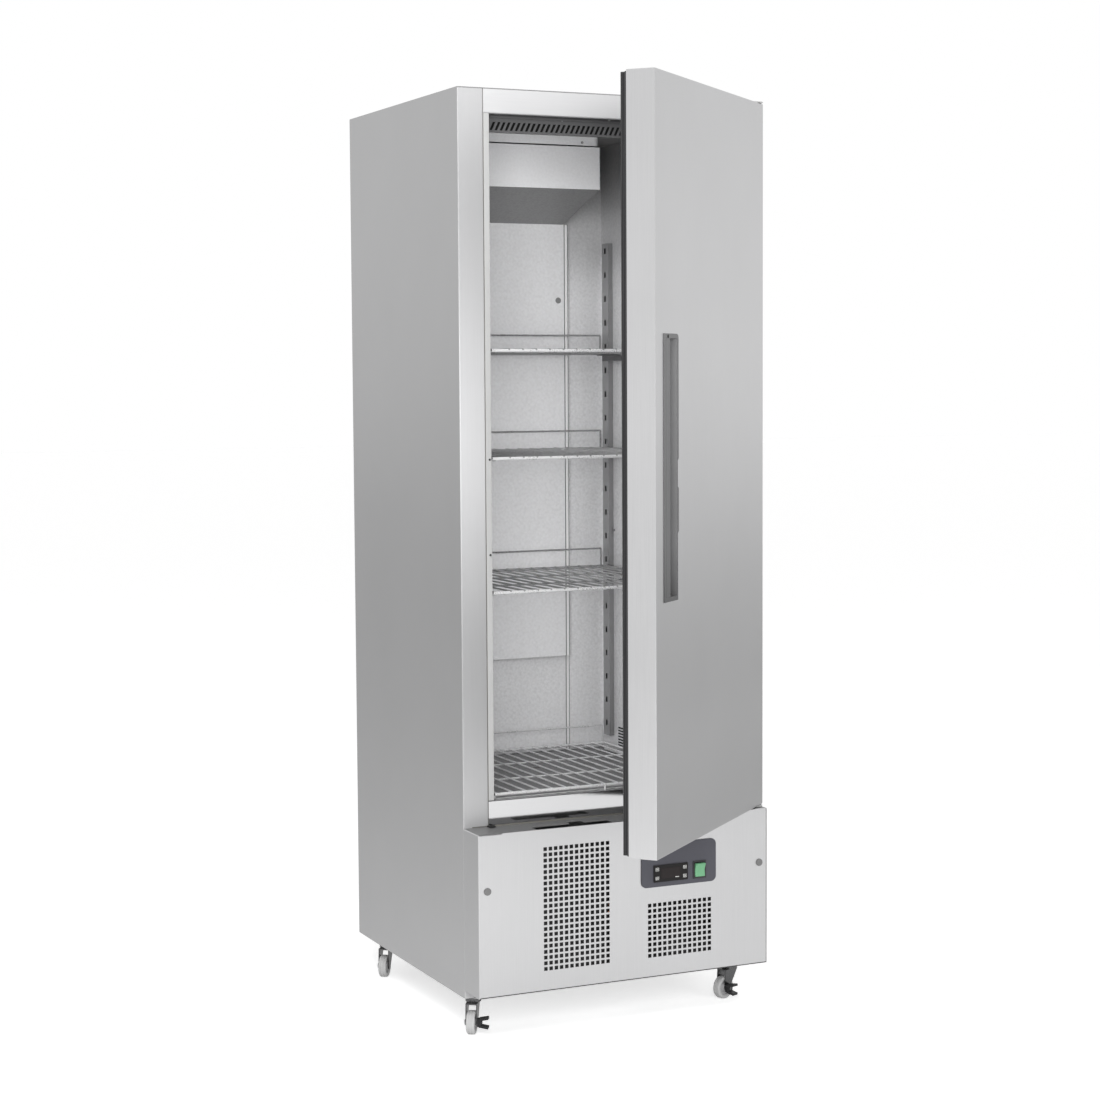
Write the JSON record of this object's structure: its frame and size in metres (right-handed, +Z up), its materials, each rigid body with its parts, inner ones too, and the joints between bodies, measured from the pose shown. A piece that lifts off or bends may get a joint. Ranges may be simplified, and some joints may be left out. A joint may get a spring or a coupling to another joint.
{
  "type": "upright freezer",
  "caption": "Upright cabinet freezer on four castors, with one solid door on a right hinge, wire shelves and a perforated lower cover with controls.",
  "frame": {"origin": "on the floor under the middle of the carcass", "axes": "X to the right seen from the front, Y to the back, Z up"},
  "size_m": [0.6871, 1.1361, 1.96],
  "materials": {
    "outer_steel": "fine vertical brushing, satin",
    "frame_steel": "polished stainless sheet",
    "coated_sheet": "galvanised and lacquered",
    "liner_aluminium": "stucco embossed",
    "strip_plastic": "satin white",
    "foam": "rigid polyurethane foam, cut face",
    "pilaster_steel": "bright folded steel",
    "rail_steel": "dull folded steel",
    "shelf_wire": "grey plastic coated wire",
    "white_plastic": "satin",
    "grey_plastic": "satin",
    "black_plastic": "satin black",
    "gasket_rubber": "matt dark grey",
    "coil_fins": "bare fins",
    "compressor_shell": "black enamel",
    "copper": "drawn copper",
    "motor_metal": "dull",
    "ledge_dark": "grey lacquered sheet",
    "handle_grey": "satin mid grey",
    "plate_slate": "smooth dark slate plastic",
    "fascia_black": "black gloss",
    "key_grey": "satin",
    "rocker_green": "translucent green, unlit",
    "zinc_steel": "zinc plated",
    "wheel_grey": "grey tread",
    "pedal_black": "moulded black"
  },
  "bodies": {
    "cabinet": {"left_side_panel": "outer_steel", "right_side_panel": "outer_steel", "top_panel": "coated_sheet", "rear_panel": "coated_sheet", "header_panel": "outer_steel", "front_apron": "frame_steel", "breaker_strips": "strip_plastic", "liner_panels": "liner_aluminium", "insulation": "foam", "pilasters": "pilaster_steel", "shelf_rails": "rail_steel", "air_grille": "white_plastic", "duct_panel": "liner_aluminium", "evaporator_cover": "liner_aluminium", "evaporator_coil": "coil_fins", "condenser_coil": "coil_fins", "fan_shroud": "coated_sheet", "fan_motors": "motor_metal", "compressor": "compressor_shell", "refrigerant_pipes": "copper", "evaporating_tray": "black_plastic", "base_pan": "coated_sheet", "rear_grille": "coated_sheet", "cable_gland": "black_plastic", "front_cover": "outer_steel", "ledge_plate": "ledge_dark", "hole_plugs": "grey_plastic", "control_plate": "plate_slate", "controller": "fascia_black", "rocker_bezel": "black_plastic", "hinge_brackets": "zinc_steel", "castor_plates": "zinc_steel"},
    "door": {"door_skin": "outer_steel", "door_liner": "white_plastic", "door_foam": "foam", "door_gasket": "gasket_rubber", "door_handle": "handle_grey", "hinge_bushes": "black_plastic"},
    "wire_shelf_1": {"wire_shelf_1": "shelf_wire"},
    "wire_shelf_2": {"wire_shelf_2": "shelf_wire"},
    "wire_shelf_3": {"wire_shelf_3": "shelf_wire"},
    "bottom_shelf": {"bottom_shelf": "shelf_wire"},
    "castor_fork_front_left": {"castor_fork_front_left": "zinc_steel"},
    "castor_wheel_front_left": {"castor_wheel_front_left": "wheel_grey"},
    "brake_pedal_front_left": {"brake_pedal_front_left": "pedal_black"},
    "castor_fork_front_right": {"castor_fork_front_right": "zinc_steel"},
    "castor_wheel_front_right": {"castor_wheel_front_right": "wheel_grey"},
    "brake_pedal_front_right": {"brake_pedal_front_right": "pedal_black"},
    "castor_fork_rear_left": {"castor_fork_rear_left": "zinc_steel"},
    "castor_wheel_rear_left": {"castor_wheel_rear_left": "wheel_grey"},
    "castor_fork_rear_right": {"castor_fork_rear_right": "zinc_steel"},
    "castor_wheel_rear_right": {"castor_wheel_rear_right": "wheel_grey"},
    "condenser_fan": {"condenser_fan": "black_plastic"},
    "evaporator_fan": {"evaporator_fan": "black_plastic"},
    "rocker": {"rocker": "rocker_green"},
    "controller_key_1": {"controller_key_1": "key_grey"},
    "controller_key_2": {"controller_key_2": "key_grey"},
    "controller_key_3": {"controller_key_3": "key_grey"},
    "controller_key_4": {"controller_key_4": "key_grey"}
  },
  "joints": [
    {"name": "door_swing", "type": "hinge", "parent": "cabinet", "child": "door", "pos_m": [0.315, -0.376, 1.2], "axis": [0, 0, 1], "range_deg": [-41.4, 68.6]},
    {"name": "wire_shelf_1_slide", "type": "slide", "parent": "cabinet", "child": "wire_shelf_1", "axis": [0, -1, 0], "range_m": [0, 0.04]},
    {"name": "wire_shelf_2_slide", "type": "slide", "parent": "cabinet", "child": "wire_shelf_2", "axis": [0, -1, 0], "range_m": [0, 0.04]},
    {"name": "wire_shelf_3_slide", "type": "slide", "parent": "cabinet", "child": "wire_shelf_3", "axis": [0, -1, 0], "range_m": [0, 0.04]},
    {"name": "bottom_shelf_lift", "type": "slide", "parent": "cabinet", "child": "bottom_shelf", "axis": [0, 0, 1], "range_m": [0, 0.1]},
    {"name": "castor_swivel_front_left", "type": "hinge", "parent": "cabinet", "child": "castor_fork_front_left", "pos_m": [-0.308, -0.29, 0.07], "axis": [0, 0, 1], "continuous": true},
    {"name": "castor_roll_front_left", "type": "hinge", "parent": "castor_fork_front_left", "child": "castor_wheel_front_left", "pos_m": [-0.31966, -0.30866, 0.025], "axis": [0.848, -0.5299, 0], "continuous": true},
    {"name": "brake_front_left", "type": "hinge", "parent": "castor_fork_front_left", "child": "brake_pedal_front_left", "pos_m": [-0.31966, -0.30866, 0.025], "axis": [0.848, -0.5299, 0], "range_deg": [0, 20]},
    {"name": "castor_swivel_front_right", "type": "hinge", "parent": "cabinet", "child": "castor_fork_front_right", "pos_m": [0.308, -0.29, 0.07], "axis": [0, 0, 1], "continuous": true},
    {"name": "castor_roll_front_right", "type": "hinge", "parent": "castor_fork_front_right", "child": "castor_wheel_front_right", "pos_m": [0.28733, -0.29752, 0.025], "axis": [0.342, -0.9397, 0], "continuous": true},
    {"name": "brake_front_right", "type": "hinge", "parent": "castor_fork_front_right", "child": "brake_pedal_front_right", "pos_m": [0.28733, -0.29752, 0.025], "axis": [0.342, -0.9397, 0], "range_deg": [0, 20]},
    {"name": "castor_swivel_rear_left", "type": "hinge", "parent": "cabinet", "child": "castor_fork_rear_left", "pos_m": [-0.308, 0.222, 0.07], "axis": [0, 0, 1], "continuous": true},
    {"name": "castor_roll_rear_left", "type": "hinge", "parent": "castor_fork_rear_left", "child": "castor_wheel_rear_left", "pos_m": [-0.32093, 0.2042, 0.025], "axis": [0.809, -0.5878, 0], "continuous": true},
    {"name": "castor_swivel_rear_right", "type": "hinge", "parent": "cabinet", "child": "castor_fork_rear_right", "pos_m": [0.308, 0.222, 0.07], "axis": [0, 0, 1], "continuous": true},
    {"name": "castor_roll_rear_right", "type": "hinge", "parent": "castor_fork_rear_right", "child": "castor_wheel_rear_right", "pos_m": [0.30048, 0.20133, 0.025], "axis": [0.9397, -0.342, 0], "continuous": true},
    {"name": "condenser_fan_spin", "type": "hinge", "parent": "cabinet", "child": "condenser_fan", "pos_m": [-0.1176, -0.22, 0.24], "axis": [0, 1, 0], "continuous": true},
    {"name": "evaporator_fan_spin", "type": "hinge", "parent": "cabinet", "child": "evaporator_fan", "pos_m": [0, 0.156, 1.8415], "axis": [0, 1, 0], "continuous": true},
    {"name": "rocker_tilt", "type": "hinge", "parent": "cabinet", "child": "rocker", "pos_m": [0.171, -0.4025, 0.32], "axis": [1, 0, 0], "range_deg": [-16, 0]},
    {"name": "controller_key_1_press", "type": "slide", "parent": "cabinet", "child": "controller_key_1", "axis": [0, 1, 0], "range_m": [0, 0.0008], "stiffness_N_per_m": 400, "springref_m": -0.0005},
    {"name": "controller_key_2_press", "type": "slide", "parent": "cabinet", "child": "controller_key_2", "axis": [0, 1, 0], "range_m": [0, 0.0008], "stiffness_N_per_m": 400, "springref_m": -0.0005},
    {"name": "controller_key_3_press", "type": "slide", "parent": "cabinet", "child": "controller_key_3", "axis": [0, 1, 0], "range_m": [0, 0.0008], "stiffness_N_per_m": 400, "springref_m": -0.0005},
    {"name": "controller_key_4_press", "type": "slide", "parent": "cabinet", "child": "controller_key_4", "axis": [0, 1, 0], "range_m": [0, 0.0008], "stiffness_N_per_m": 400, "springref_m": -0.0005}
  ]
}
